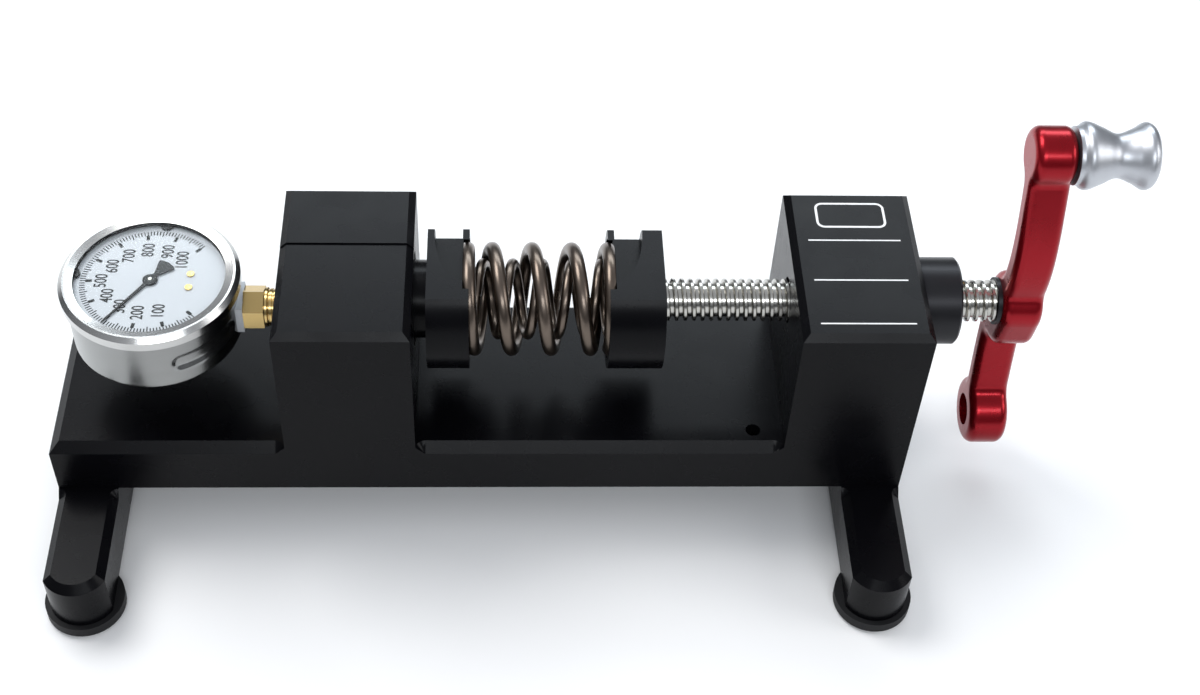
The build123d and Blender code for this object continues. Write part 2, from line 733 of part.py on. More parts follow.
with BuildPart() as gauge_case:
    dial_ring(0, case_radius, case_floor, case_floor + case_wall)
    dial_ring(case_radius - case_wall, case_radius, case_floor, lens_top - 0.2)
    fillet(gauge_case.edges().group_by(Axis.Z)[0], 0.9 * case_wall)
    stem_block(snug, Mode.SUBTRACT)
save(gauge_case, "gauge_case")

with BuildPart() as gauge_bezel:
    turned(
        [
            (case_radius + snug, bezel_bottom),
            (bezel_radius, bezel_bottom),
            (bezel_radius, bezel_top - 1.6),
            (bezel_radius - 1.6, bezel_top),
            (bezel_radius - 2.4, bezel_top),
            (window_radius, lens_top + 0.25),
            (window_radius, lens_top + snug),
            (case_radius + snug, lens_top + snug),
        ],
        gauge_axis,
        gauge_plane,
    )
save(gauge_bezel, "gauge_bezel")

with BuildPart() as gauge_lens:
    dial_ring(0, lens_radius, lens_top - lens_thickness, lens_top)
save(gauge_lens, "gauge_lens")

with BuildPart() as lens_gasket:
    gasket_top = lens_top - lens_thickness
    dial_ring(lens_radius - 2.4, lens_radius, gasket_top - gasket_height, gasket_top)
save(lens_gasket, "lens_gasket")

spindle_radius = 1.0
dial_screw_radius = 1.0
dial_screw_head = 1.4
dial_screw_places = [(gauge_x + 14.0, -3.3), (gauge_x + 14.0, 3.3)]

with BuildPart() as gauge_dial:
    dial_ring(spindle_radius + 0.6, lens_radius, dial_z, dial_z + dial_thickness)
    with BuildSketch(Plane.XY.offset(dial_z)) as screw_holes:
        with Locations(*dial_screw_places):
            Circle(dial_screw_radius + snug)
    extrude(screw_holes.sketch, amount=dial_thickness, mode=Mode.SUBTRACT)
save(gauge_dial, "gauge_dial")

movement_top = dial_z - 0.4
movement_bottom = stem_z + socket_height / 2 + snug
movement_plate = 1.2

with BuildPart() as gauge_movement:
    for z in (movement_bottom, movement_top - movement_plate):
        with BuildSketch(Plane.XY.offset(z)) as plate:
            with Locations((gauge_x + 7, 0)):
                Rectangle(24, 14)
        extrude(plate.sketch, amount=movement_plate)
    with BuildSketch(Plane.XY.offset(movement_bottom)) as pillars:
        with Locations((gauge_x + 17, -5), (gauge_x + 17, 5), (gauge_x - 3, -5), (gauge_x - 3, 5)):
            Circle(1.2)
    extrude(pillars.sketch, amount=movement_top - movement_bottom)
    bore(Plane(origin=(gauge_x, 0, movement_bottom)), spindle_radius + running_fit, 20)
    with BuildSketch(Plane.XY.offset(movement_bottom)) as dial_taps:
        with Locations(*dial_screw_places):
            Circle(dial_screw_radius + snug)
    extrude(dial_taps.sketch, amount=20, mode=Mode.SUBTRACT)
save(gauge_movement, "gauge_movement")

with BuildPart() as dial_screws:
    with BuildSketch(Plane.XY.offset(dial_z + dial_thickness + snug)) as heads:
        with Locations(*dial_screw_places):
            Circle(dial_screw_head)
    extrude(heads.sketch, amount=0.5)
    with BuildSketch(Plane.XY.offset(dial_z + dial_thickness + snug)) as shanks:
        with Locations(*dial_screw_places):
            Circle(dial_screw_radius)
    extrude(shanks.sketch, amount=-(dial_z + dial_thickness - movement_bottom - 0.4))
save(dial_screws, "dial_screws")

tube_radius = 20.0
tube_width = 3.0
tube_height = 8.0

with BuildPart() as bourdon_tube:
    with BuildSketch(Plane.XY.offset(stem_z - tube_height / 2)) as tube_plan:
        with Locations((gauge_x, 0)):
            SlotArc(CenterArc((0, 0), tube_radius, 32, 270, mode=Mode.PRIVATE), tube_width)
    extrude(tube_plan.sketch, amount=tube_height)
save(bourdon_tube, "bourdon_tube")

with BuildPart() as gauge_stem:
    stem_block(0)
    bore(across(socket_end, stem_z), 4.0, -12.0)
save(gauge_stem, "gauge_stem")

pointer_angle = 180 + scale_sweep * (0.5 - load_share)
pointer_root = -pointer_tail * 0.45
spindle_foot = movement_bottom + 0.4

with BuildPart() as pointer:
    pointer_plane = Plane(origin=(gauge_x, 0, pointer_z)).rotated((0, 0, pointer_angle))
    half_outline = [(pointer_reach, 0.3), (0, 0.7), (pointer_root, 0.9)]
    half_outline += [(-pointer_tail + 0.6, pointer_tail_half), (-pointer_tail, pointer_tail_half - 1)]
    with BuildSketch(pointer_plane) as hand:
        Circle(2.6)
        with BuildLine():
            Polyline(*half_outline, *[(x, -y) for x, y in reversed(half_outline)], close=True)
        make_face()
    extrude(hand.sketch, amount=0.5)
    rod(Plane(origin=(gauge_x, 0, spindle_foot)), spindle_radius, pointer_z + 0.9 - spindle_foot)
save(pointer, "pointer")

# ---------------------------------------------------------------- brass fitting
hex_start = socket_end
hex_end = hex_start + 7.4
with BuildPart() as brass_fitting:
    with BuildSketch(across(hex_start, stem_z)) as hexagon:
        RegularPolygon(8.0, 6, rotation=30)
    extrude(hexagon.sketch, amount=hex_end - hex_start)
    rod(across(hex_start, stem_z), 4.0 - snug, -11.0)
    rod(across(hex_end, stem_z), port_radius - snug, left_tower_x0 - hex_end + 8)
    bore(across(hex_start - 11.0, stem_z), 1.6, 60)
save(brass_fitting, "brass_fitting")
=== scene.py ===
"""Looks of the bench spring tester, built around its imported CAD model.

Blender units are metres.  +X runs from the gauge to the crank, +Y to the rear, +Z up.
"""
import json
from math import ceil, cos, pi, radians, sin, tau

import bmesh
import bpy
import numpy as np
from mathutils import Matrix, Vector


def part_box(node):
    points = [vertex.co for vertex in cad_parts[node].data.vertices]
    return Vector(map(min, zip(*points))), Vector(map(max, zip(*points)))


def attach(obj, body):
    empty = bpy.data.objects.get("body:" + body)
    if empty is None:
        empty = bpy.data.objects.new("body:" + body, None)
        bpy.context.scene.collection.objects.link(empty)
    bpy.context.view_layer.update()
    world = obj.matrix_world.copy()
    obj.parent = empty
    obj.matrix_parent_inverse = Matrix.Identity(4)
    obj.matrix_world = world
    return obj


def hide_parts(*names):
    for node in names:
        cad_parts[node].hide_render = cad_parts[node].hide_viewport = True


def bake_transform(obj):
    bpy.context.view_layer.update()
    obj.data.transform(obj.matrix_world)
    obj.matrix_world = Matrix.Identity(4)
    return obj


MM = 0.001
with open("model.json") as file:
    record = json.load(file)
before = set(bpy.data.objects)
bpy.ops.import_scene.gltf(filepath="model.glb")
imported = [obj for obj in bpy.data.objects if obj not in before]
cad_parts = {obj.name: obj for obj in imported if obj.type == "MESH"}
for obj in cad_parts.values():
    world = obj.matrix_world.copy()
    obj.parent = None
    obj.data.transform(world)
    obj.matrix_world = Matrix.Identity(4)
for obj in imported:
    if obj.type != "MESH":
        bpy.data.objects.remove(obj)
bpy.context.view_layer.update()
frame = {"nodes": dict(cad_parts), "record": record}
nodes = frame["nodes"]
record = frame["record"]


# ---------------------------------------------------------------- places, from the frame
def box(node):
    """Lowest corner, highest corner and middle of a CAD node, as vectors in metres."""
    low, high = (Vector(corner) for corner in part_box(node))
    return low, high, (low + high) / 2


plate_low, plate_high, _ = box("base_plate")
screw_low, screw_high, screw_mid = box("lead_screw")
case_low, case_high, case_mid = box("gauge_case")
_, dial_high, dial_mid = box("gauge_dial")
pointer_low, _, _ = box("pointer")
outer_low, outer_high, _ = box("outer_spring")
inner_low, inner_high, _ = box("inner_spring")
_, stem_high, stem_mid = box("gauge_stem")
left_tower_low, _, _ = box("left_tower")
right_tower_low, right_tower_high, _ = box("right_tower")
washer_low, washer_high, _ = box("crank_washer")
_, bearing_high, _ = box("turning_bearing_washer")
knob_low, knob_high, knob_mid = box("knob")
axis_z = screw_mid.z


# ---------------------------------------------------------------- materials
GLOSS_SPREAD = 0.06        # how far roughness wanders over one surface
GRAIN_SCALE = 1800
GRAIN_HEIGHT = 0.05 * MM
COAT_ROUGHNESS = 0.12


def shader(name, base, metallic, roughness, second, grain=0.0, patch=60.0, specular=0.5, coat=0.0,
           streak=(1, 1, 1)):
    """A procedural surface: two tones mixed by soft noise, uneven gloss and a fine grain.

    patch is the noise's scale, and streak stretches it along an object axis as brushing does.
    """
    made = bpy.data.materials.new(name)
    made.use_nodes = True
    tree = made.node_tree
    surface = tree.nodes["Principled BSDF"]
    surface.inputs["Metallic"].default_value = metallic
    surface.inputs["Specular IOR Level"].default_value = specular
    surface.inputs["Coat Weight"].default_value = coat
    surface.inputs["Coat Roughness"].default_value = COAT_ROUGHNESS
    place = tree.nodes.new("ShaderNodeTexCoord")
    scale = tree.nodes.new("ShaderNodeMapping")
    scale.inputs["Scale"].default_value = streak
    tree.links.new(place.outputs["Object"], scale.inputs["Vector"])
    noise = tree.nodes.new("ShaderNodeTexNoise")
    noise.inputs["Scale"].default_value = patch
    noise.inputs["Detail"].default_value = 4
    tree.links.new(scale.outputs["Vector"], noise.inputs["Vector"])
    tones = tree.nodes.new("ShaderNodeMix")
    tones.data_type = "RGBA"
    tones.inputs[6].default_value = (*base, 1)
    tones.inputs[7].default_value = (*second, 1)
    tree.links.new(noise.outputs["Fac"], tones.inputs[0])
    tree.links.new(tones.outputs[2], surface.inputs["Base Color"])
    gloss = tree.nodes.new("ShaderNodeMapRange")
    gloss.inputs["From Min"].default_value = 0.3
    gloss.inputs["From Max"].default_value = 0.7
    gloss.inputs["To Min"].default_value = roughness - GLOSS_SPREAD / 2
    gloss.inputs["To Max"].default_value = roughness + GLOSS_SPREAD / 2
    tree.links.new(noise.outputs["Fac"], gloss.inputs["Value"])
    tree.links.new(gloss.outputs["Result"], surface.inputs["Roughness"])
    if grain:
        fine = tree.nodes.new("ShaderNodeTexNoise")
        fine.inputs["Scale"].default_value = GRAIN_SCALE
        fine.inputs["Detail"].default_value = 2
        tree.links.new(scale.outputs["Vector"], fine.inputs["Vector"])
        bump = tree.nodes.new("ShaderNodeBump")
        bump.inputs["Strength"].default_value = grain
        bump.inputs["Distance"].default_value = GRAIN_HEIGHT
        tree.links.new(fine.outputs["Fac"], bump.inputs["Height"])
        tree.links.new(bump.outputs["Normal"], surface.inputs["Normal"])
    return made


LENS_TINT = (0.985, 0.995, 0.99, 1)
LENS_ROUGHNESS = 0.15
LENS_GLOSS_SHARE = 0.012


def clear_lens():
    """Thin clear glass: mostly see-through with a little gloss."""
    made = bpy.data.materials.new("clear_lens")
    made.use_nodes = True
    tree = made.node_tree
    tree.nodes.remove(tree.nodes["Principled BSDF"])
    through = tree.nodes.new("ShaderNodeBsdfTransparent")
    through.inputs["Color"].default_value = LENS_TINT
    gloss = tree.nodes.new("ShaderNodeBsdfGlossy")
    gloss.inputs["Roughness"].default_value = LENS_ROUGHNESS
    mixed = tree.nodes.new("ShaderNodeMixShader")
    mixed.inputs[0].default_value = LENS_GLOSS_SHARE
    tree.links.new(through.outputs[0], mixed.inputs[1])
    tree.links.new(gloss.outputs[0], mixed.inputs[2])
    tree.links.new(mixed.outputs[0], tree.nodes["Material Output"].inputs["Surface"])
    return made


looks = {
    "black_anodised": shader("black_anodised", (0.0014, 0.0015, 0.0020), 0, 0.27, (0.0026, 0.0025, 0.0036),
                             grain=0.2, specular=0.09),
    "red_anodised": shader("red_anodised", (0.24, 0.0012, 0.006), 0.8, 0.28, (0.31, 0.0025, 0.010),
                           grain=0.1, coat=0.12),
    "silver_anodised": shader("silver_anodised", (0.46, 0.48, 0.51), 1, 0.40, (0.52, 0.53, 0.56)),
    "screw_steel": shader("screw_steel", (0.42, 0.41, 0.38), 1, 0.22, (0.55, 0.54, 0.51), grain=0.15),
    "black_oxide_steel": shader("black_oxide_steel", (0.012, 0.012, 0.014), 0.5, 0.36, (0.02, 0.02, 0.023),
                                grain=0.2, specular=0.3),
    "spring_steel": shader("spring_steel", (0.10, 0.078, 0.062), 1, 0.30, (0.185, 0.15, 0.125),
                           grain=0.2, patch=90),
    "bronze": shader("bronze", (0.45, 0.28, 0.13), 1, 0.35, (0.52, 0.34, 0.17), grain=0.1),
    "brass": shader("brass", (0.54, 0.38, 0.15), 1, 0.22, (0.62, 0.46, 0.20), grain=0.1),
    "stainless": shader("stainless", (0.25, 0.255, 0.25), 1, 0.24, (0.34, 0.345, 0.34),
                        grain=0.1, patch=40, streak=(1, 1, 3)),
    "polished_stainless": shader("polished_stainless", (0.50, 0.50, 0.49), 1, 0.20, (0.58, 0.58, 0.57)),
    "grey_stem": shader("grey_stem", (0.36, 0.38, 0.40), 0.6, 0.42, (0.46, 0.47, 0.49), grain=0.2),
    "white_dial": shader("white_dial", (0.47, 0.48, 0.52), 0, 0.45, (0.50, 0.51, 0.55)),
    "black_pointer": shader("black_pointer", (0.006, 0.006, 0.007), 0, 0.42, (0.011, 0.011, 0.012),
                            specular=0.3),
    "rubber": shader("rubber", (0.007, 0.007, 0.008), 0, 0.60, (0.013, 0.013, 0.014), grain=0.6,
                     specular=0.22),
    "clear_lens": clear_lens(),
}
white_print = shader("white_print", (0.74, 0.74, 0.74), 0, 0.5, (0.80, 0.80, 0.80))
pale_metal = shader("pale_metal", (0.80, 0.78, 0.70), 1, 0.3, (0.86, 0.84, 0.78))


def wear(piece, slot):
    """Gives a piece the finish of one of the record's material slots."""
    piece.data.materials.clear()
    piece.data.materials.append(looks[slot])


for row in record["subparts"]:
    cad = nodes[row["node"]]
    cad.data.materials.clear()
    cad.data.materials.append(looks[row["material_slot"]])


# ---------------------------------------------------------------- mesh helpers
WELD_DISTANCE = 1e-7       # points nearer than this are one point
SHARP_ANGLE = radians(32)  # edges sharper than this stay crisp


def mesh(name, points, faces, smooth=True):
    """A mesh object in the row frame."""
    data = bpy.data.meshes.new(name)
    data.from_pydata([tuple(p) for p in points], [], [tuple(f) for f in faces])
    data.update()
    made = bpy.data.objects.new(name, data)
    bpy.context.scene.collection.objects.link(made)
    tidy = bmesh.new()
    tidy.from_mesh(data)
    bmesh.ops.remove_doubles(tidy, verts=tidy.verts, dist=WELD_DISTANCE)
    bmesh.ops.recalc_face_normals(tidy, faces=tidy.faces)
    tidy.to_mesh(data)
    tidy.free()
    for face in data.polygons:
        face.use_smooth = smooth
    if smooth:
        data.set_sharp_from_angle(angle=SHARP_ANGLE)
    return made


def lathe(profile, centre, axis, segments=96):
    """Points and faces turned from (along, radius) pairs; axis is 'X' or 'Z'."""
    points, faces = [], []
    for along, radius in profile:
        for step in range(segments):
            turn = tau * step / segments
            a, b = radius * cos(turn), radius * sin(turn)
            local = (along, a, b) if axis == "X" else (a, b, along)
            points.append(Vector(centre) + Vector(local))
    for ring in range(len(profile) - 1):
        for step in range(segments):
            after = (step + 1) % segments
            low, high = ring * segments, (ring + 1) * segments
            faces.append((low + step, low + after, high + after, high + step))
    return points, faces


def join(parts):
    """Several (points, faces) pairs as one."""
    points, faces = [], []
    for some_points, some_faces in parts:
        shift = len(points)
        points += list(some_points)
        faces += [tuple(i + shift for i in face) for face in some_faces]
    return points, faces


def slab(outline, z0, z1, place=Matrix.Identity(4)):
    """A flat plate from its outline, between two heights."""
    count = len(outline)
    points = [place @ Vector((x, y, z)) for z in (z0, z1) for x, y in outline]
    faces = [tuple(range(count)), tuple(range(2 * count - 1, count - 1, -1))]
    faces += [(i, (i + 1) % count, count + (i + 1) % count, count + i) for i in range(count)]
    return points, faces


def smoothstep(value):
    """0 below 0, 1 above 1 and a smooth rise between."""
    t = np.clip(value, 0, 1)
    return t * t * (3 - 2 * t)


# ---------------------------------------------------------------- springs
STEPS_PER_COIL_TURN, WIRE_SIDES = 72, 20
END_SINK = 0.24            # centre of the first turn above the seat, in wires
CLOSED_PITCH = 0.25        # rise of a closed turn, in wires


def coil(name, node_low, node_high, wire, turns, direction, top_at, lead_in, lead_out):
    """A compression spring with closed ends ground flat against the two cup seats.

    top_at is the turn at which the wire first passes the top.  lead_in and lead_out each give
    the closed turns at that end and the turns over which the pitch opens.
    """
    first_angle = pi / 2 - direction * tau * top_at
    mean_radius = (node_high.y - node_low.y) / 2 - wire / 2
    length = node_high.x - node_low.x
    sides = WIRE_SIDES
    start = END_SINK * wire
    t = np.linspace(0, turns, int(ceil(turns * STEPS_PER_COIL_TURN)) + 1)
    opening = smoothstep((t - lead_in[0]) / lead_in[1])
    closing = smoothstep((turns - lead_out[0] - t) / lead_out[1])
    active = opening * closing
    closed_pitch = CLOSED_PITCH * wire
    closed = closed_pitch * turns
    active_sum = float(np.sum((active[1:] + active[:-1]) / 2 * np.diff(t)))
    open_pitch = (length - 2 * start - closed) / active_sum
    rise = closed_pitch + open_pitch * active
    along = start + np.concatenate([[0], np.cumsum((rise[1:] + rise[:-1]) / 2 * np.diff(t))])
    centres = [
        Vector((node_low.x + x, mean_radius * cos(first_angle + direction * tau * s),
                axis_z + mean_radius * sin(first_angle + direction * tau * s)))
        for x, s in zip(along, t)
    ]
    points, faces = [], []
    for i, centre in enumerate(centres):
        ahead = centres[min(i + 1, len(centres) - 1)]
        behind = centres[max(i - 1, 0)]
        tangent = (ahead - behind).normalized()
        out = Vector((0, centre.y, centre.z - axis_z)).normalized()
        side = tangent.cross(out).normalized()
        for k in range(sides):
            turn = tau * k / sides
            p = centre + wire / 2 * (out * cos(turn) + side * sin(turn))
            p.x = min(max(p.x, node_low.x), node_high.x)
            points.append(p)
    for i in range(len(centres) - 1):
        for k in range(sides):
            after = (k + 1) % sides
            here, there = i * sides, (i + 1) * sides
            faces.append((here + k, here + after, there + after, there + k))
    last = (len(centres) - 1) * sides
    faces += [tuple(range(sides)), tuple(range(last, last + sides))]
    made = mesh(name, points, faces)
    wear(made, "spring_steel")
    return made


OUTER_WIRE = 5.2 * MM
INNER_WIRE = 3.8 * MM
outer = coil("outer_coil", outer_low, outer_high, OUTER_WIRE, turns=4.8, direction=1, top_at=0.4,
             lead_in=(0.15, 1.1), lead_out=(0.3, 0.6))
inner = coil("inner_coil", inner_low, inner_high, INNER_WIRE, turns=6.2, direction=-1, top_at=0.1,
             lead_in=(0.2, 1.0), lead_out=(0.2, 1.0))
for piece, node in ((outer, "outer_spring"), (inner, "inner_spring")):
    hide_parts(node)
    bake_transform(piece)

# ---------------------------------------------------------------- lead screw with a real helix
LEAD = 3.175 * MM
THREAD_DEPTH = 1.6 * MM
CREST_BREAK = 0.12 * MM    # the crest's broken corners
PILOT_RADIUS = 5.0 * MM
SHANK_SHARE = 0.7          # the screw's plain end, as a share of the crank washer's radius
THREAD_STEPS = 64          # per turn
WASHER_GAP = 0.05 * MM
thread_start, thread_end = bearing_high.x, washer_low.x - WASHER_GAP
crest = (screw_high.z - screw_low.z) / 2
root = crest - THREAD_DEPTH


def thread():
    """A right-hand trapezoid thread, clipped square at both ends.

    The profile gives its distances along the screw as shares of the lead.
    """
    profile = ((0, root), (0.34, root), (0.49, crest - CREST_BREAK), (0.53, crest), (0.81, crest),
               (0.85, crest - CREST_BREAK), (1, root))
    count = int((thread_end - thread_start) / LEAD) + 2
    rows = count * THREAD_STEPS + 1
    points, faces = [], []
    for row in range(rows):
        turn = row / THREAD_STEPS
        for along, radius in profile:
            x = thread_start + (turn - 1 + along) * LEAD
            x = min(max(x, thread_start), thread_end)
            points.append((x, radius * cos(tau * turn), axis_z + radius * sin(tau * turn)))
    width = len(profile)
    for row in range(rows - 1):
        for k in range(width - 1):
            a = row * width + k
            faces.append((a, a + 1, a + width + 1, a + width))
    return points, faces


def plain_end(x0, x1, radius):
    """A smooth cylinder on the screw's axis, closed at both ends."""
    return lathe([(x0, 0), (x0, radius), (x1, radius), (x1, 0)], (0, 0, axis_z), "X")


shank_radius = (washer_high.z - axis_z) * SHANK_SHARE
ends = [plain_end(screw_low.x, thread_start, PILOT_RADIUS),
        plain_end(thread_end, screw_high.x, shank_radius)]
screw = mesh("threaded_screw", *join([thread(), *ends]))
wear(screw, "screw_steel")
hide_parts("lead_screw")
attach(screw, "screw")

# ---------------------------------------------------------------- knob with its waisted grip
def through(corners, steps=14):
    """A smooth curve through the given (along, radius) pairs."""
    known = [np.array(corner, dtype=float) for corner in corners]
    known = [2 * known[0] - known[1], *known, 2 * known[-1] - known[-2]]
    curve = []
    for before, here, there, beyond in zip(known, known[1:], known[2:], known[3:]):
        for t in np.linspace(0, 1, steps, endpoint=False):
            curve.append(0.5 * (2 * here + (there - before) * t
                                + (2 * before - 5 * here + 4 * there - beyond) * t**2
                                + (3 * here - before - 3 * there + beyond) * t**3))
    return [tuple(float(v) for v in p) for p in [*curve, known[-2]]]


knob_reach = knob_high.x - knob_low.x
knob_crown = (knob_high.z - knob_low.z) / 2
bore_radius, mouth_radius, mouth_depth = 4.2 * MM, 6.9 * MM, 6.0 * MM
flange_radius = knob_crown - 1.6 * MM
grip_curve = through([
    (1.3 * MM, flange_radius),
    (0.15 * knob_reach, knob_crown),
    (0.34 * knob_reach, knob_crown - 1.9 * MM),
    (0.54 * knob_reach, knob_crown - 4.2 * MM),
    (0.74 * knob_reach, knob_crown - 2.4 * MM),
    (0.88 * knob_reach, knob_crown - 0.2 * MM),
    (0.96 * knob_reach, knob_crown - 0.7 * MM),
    (knob_reach, knob_crown - 2.0 * MM),
])
knob_profile = [(0, bore_radius), (0, flange_radius), *grip_curve, (knob_reach, mouth_radius),
                (knob_reach - mouth_depth, mouth_radius), (knob_reach - mouth_depth, bore_radius),
                (0, bore_radius)]
grip = mesh("turned_knob", *lathe(knob_profile, (knob_low.x, knob_mid.y, knob_mid.z), "X", 128))
wear(grip, "silver_anodised")
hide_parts("knob")
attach(grip, "knob")

# ---------------------------------------------------------------- gauge dial: ticks and numerals
SWEEP = radians(270)
FULL_SCALE = 1000
gauge_x, gauge_y = dial_mid.x, dial_mid.y
PRINT_HEIGHT = 0.06 * MM
print_z0, print_z1 = dial_high.z, dial_high.z + PRINT_HEIGHT


def dial_angle(value):
    """Where a load reading lies round the dial; the dial's top faces -X."""
    return pi + SWEEP * (0.5 - value / FULL_SCALE)


def bar(angle, inner, outer_end, width):
    """A radial bar printed on the dial."""
    outline = [(inner, -width / 2), (outer_end, -width / 2), (outer_end, width / 2), (inner, width / 2)]
    place = Matrix.Translation((gauge_x, gauge_y, 0)) @ Matrix.Rotation(angle, 4, "Z")
    return slab(outline, print_z0, print_z1, place)


MINOR_STEP, MID_STEP, MAJOR_STEP = 10, 50, 100
MINOR_WIDTH, MAJOR_WIDTH = 0.42 * MM, 1.25 * MM
TICK_OUT, TICK_IN, MID_IN, MAJOR_IN = 25.0 * MM, 23.0 * MM, 22.2 * MM, 20.7 * MM
bars = []
for value in range(0, FULL_SCALE + 1, MINOR_STEP):
    reach = MID_IN if value % MID_STEP == 0 else TICK_IN
    bars.append(bar(dial_angle(value), reach, TICK_OUT, MINOR_WIDTH))
    if value % MAJOR_STEP == 0:
        bars.append(bar(dial_angle(value), MAJOR_IN, TICK_IN, MAJOR_WIDTH))
ticks = mesh("dial_ticks", *join(bars), smooth=False)
wear(ticks, "black_pointer")
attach(ticks, "frame")

NUMERAL_HEIGHT = 4.5 * MM
NUMERAL_PITCH = 2.6 * MM
NUMERAL_CIRCLE = 19.4 * MM
NUMERAL_NARROWING = 0.72
FONT_SIZE_PER_HEIGHT = 1.38
CENTRING = 0.9             # how much of a numeral's own reach keeps it inside its circle
HALF_PRINT = PRINT_HEIGHT / 2
STROKE_GROWTH = 0.07 * MM  # makes the strokes bolder
for value in range(MAJOR_STEP, FULL_SCALE + 1, MAJOR_STEP):
    angle = dial_angle(value)
    word = str(value)
    half_length = NUMERAL_PITCH * len(word) / 2
    own_reach = abs(cos(angle)) * NUMERAL_HEIGHT / 2 + abs(sin(angle)) * half_length
    reach = NUMERAL_CIRCLE - CENTRING * own_reach
    curve = bpy.data.curves.new(f"numeral_{word}", "FONT")
    curve.body = word
    curve.align_x = "CENTER"
    curve.align_y = "CENTER"
    curve.size = NUMERAL_HEIGHT * FONT_SIZE_PER_HEIGHT
    curve.extrude = HALF_PRINT
    curve.offset = STROKE_GROWTH
    numeral = bpy.data.objects.new(f"numeral_{word}", curve)
    bpy.context.scene.collection.objects.link(numeral)
    numeral.scale = (NUMERAL_NARROWING, 1, 1)
    numeral.rotation_euler = (0, 0, pi / 2)
    spot = (gauge_x + reach * cos(angle), gauge_y + reach * sin(angle))
    numeral.location = (*spot, print_z0 + HALF_PRINT)
    wear(numeral, "black_pointer")
    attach(numeral, "frame")

# the two black stops at the dial's edge
STOP_ANGLES = (radians(84), radians(174))
STOP_HEIGHT = 1.2 * MM
stops = []
for angle in STOP_ANGLES:
    outline = [(26.9 * MM, -2.4 * MM), (25.6 * MM, -1.3 * MM), (25.3 * MM, 0), (25.6 * MM, 1.3 * MM),
               (26.9 * MM, 2.4 * MM)]
    place = Matrix.Translation((gauge_x, gauge_y, 0)) @ Matrix.Rotation(angle, 4, "Z")
    stops.append(slab(outline, dial_high.z, dial_high.z + STOP_HEIGHT, place))
dial_stops = mesh("dial_stops", *join(stops), smooth=False)
wear(dial_stops, "black_pointer")
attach(dial_stops, "frame")

# ---------------------------------------------------------------- pointer
POINTER_READING = 296
POINTER_LIFT = 0.45 * MM   # gap between the dial's face and the pointer
POINTER_THICKNESS = 0.5 * MM
PIVOT_LIFT = 0.6 * MM
pointer_z = dial_high.z + POINTER_LIFT
needle = [(25.0, 0.22), (6, 0.55), (0, 0.8), (-3.4, 0.9), (-9.0, 3.5), (-9.7, 2.4), (-10.1, 0)]
outline = [(x * MM, y * MM) for x, y in needle] + [(x * MM, -y * MM) for x, y in reversed(needle[:-1])]
place = Matrix.Translation((gauge_x, gauge_y, 0)) @ Matrix.Rotation(dial_angle(POINTER_READING), 4, "Z")
hub = lathe([(0, 0), (0, 2.7 * MM), (0.6 * MM, 2.7 * MM), (0.85 * MM, 2.3 * MM), (0.85 * MM, 0)],
            (gauge_x, gauge_y, pointer_z - 0.2 * MM), "Z", 48)
spindle_foot = pointer_low.z - pointer_z
spindle = lathe([(spindle_foot, 0), (spindle_foot, MM), (0.2 * MM, MM), (0.2 * MM, 0)],
                (gauge_x, gauge_y, pointer_z), "Z", 32)
blade = slab(outline, pointer_z, pointer_z + POINTER_THICKNESS, place)
hand = mesh("pointer_hand", *join([blade, hub, spindle]))
wear(hand, "black_pointer")
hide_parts("pointer")
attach(hand, "pointer")
pivot = mesh("pointer_pivot", *lathe([(0, 0), (0, 0.75 * MM), (0.3 * MM, 0.6 * MM), (0.35 * MM, 0)],
                                     (gauge_x, gauge_y, pointer_z + PIVOT_LIFT), "Z", 24))
pivot.data.materials.append(pale_metal)
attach(pivot, "pointer")


# ---------------------------------------------------------------- gauge case with its pressed recess
RECESS_MIDDLE, RECESS_HALF = radians(-44), radians(21)
RECESS_LEVEL = 0.42        # its height on the wall, as a share of the case's height
RECESS_RADIUS, RECESS_DEPTH = 3.6 * MM, 1.3 * MM
RECESS_FLAT, RECESS_SLOPE = 0.45, 0.75     # flat floor and sloping side, in recess radii
CASE_CORNER = 1.6 * MM
CASE_WALL = 1.0 * MM
CASE_NECK = 0.8 * MM       # the inside narrows by this much towards its floor


def case_wall():
    """The case's skin with an elongated pressed recess on its front right side."""
    outer_radius = (case_high.y - case_low.y) / 2
    height = case_high.z - case_low.z
    around, up = 360, 48
    recess_z = RECESS_LEVEL * height
    foot = (case_mid.x, case_mid.y, case_low.z)
    points, faces = [], []
    for j in range(up + 1):
        z = height * j / up
        for i in range(around):
            angle = tau * i / around
            swing = (angle - RECESS_MIDDLE + pi) % tau - pi
            past_end = max(abs(swing) - RECESS_HALF, 0) * outer_radius
            off = (past_end**2 + (z - recess_z) ** 2) ** 0.5
            climb = (off - RECESS_RADIUS * RECESS_FLAT) / (RECESS_RADIUS * RECESS_SLOPE)
            radius = outer_radius - RECESS_DEPTH * float(1 - smoothstep(climb))
            if z < CASE_CORNER:
                radius -= CASE_CORNER - (CASE_CORNER**2 - (CASE_CORNER - z) ** 2) ** 0.5
            points.append((foot[0] + radius * cos(angle), foot[1] + radius * sin(angle), foot[2] + z))
    for j in range(up):
        for i in range(around):
            after = (i + 1) % around
            a, b = j * around, (j + 1) * around
            faces.append((a + i, a + after, b + after, b + i))
    bore = outer_radius - CASE_WALL
    inside = lathe([(height, outer_radius), (height, bore), (CASE_WALL, bore - CASE_NECK), (CASE_WALL, 0)],
                   foot, "Z", around)
    bottom = lathe([(0, outer_radius - CASE_CORNER), (0, 0)], foot, "Z", around)
    return join([(points, faces), inside, bottom])


case = mesh("pressed_case", *case_wall())
wear(case, "stainless")
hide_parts("gauge_case")
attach(case, "frame")

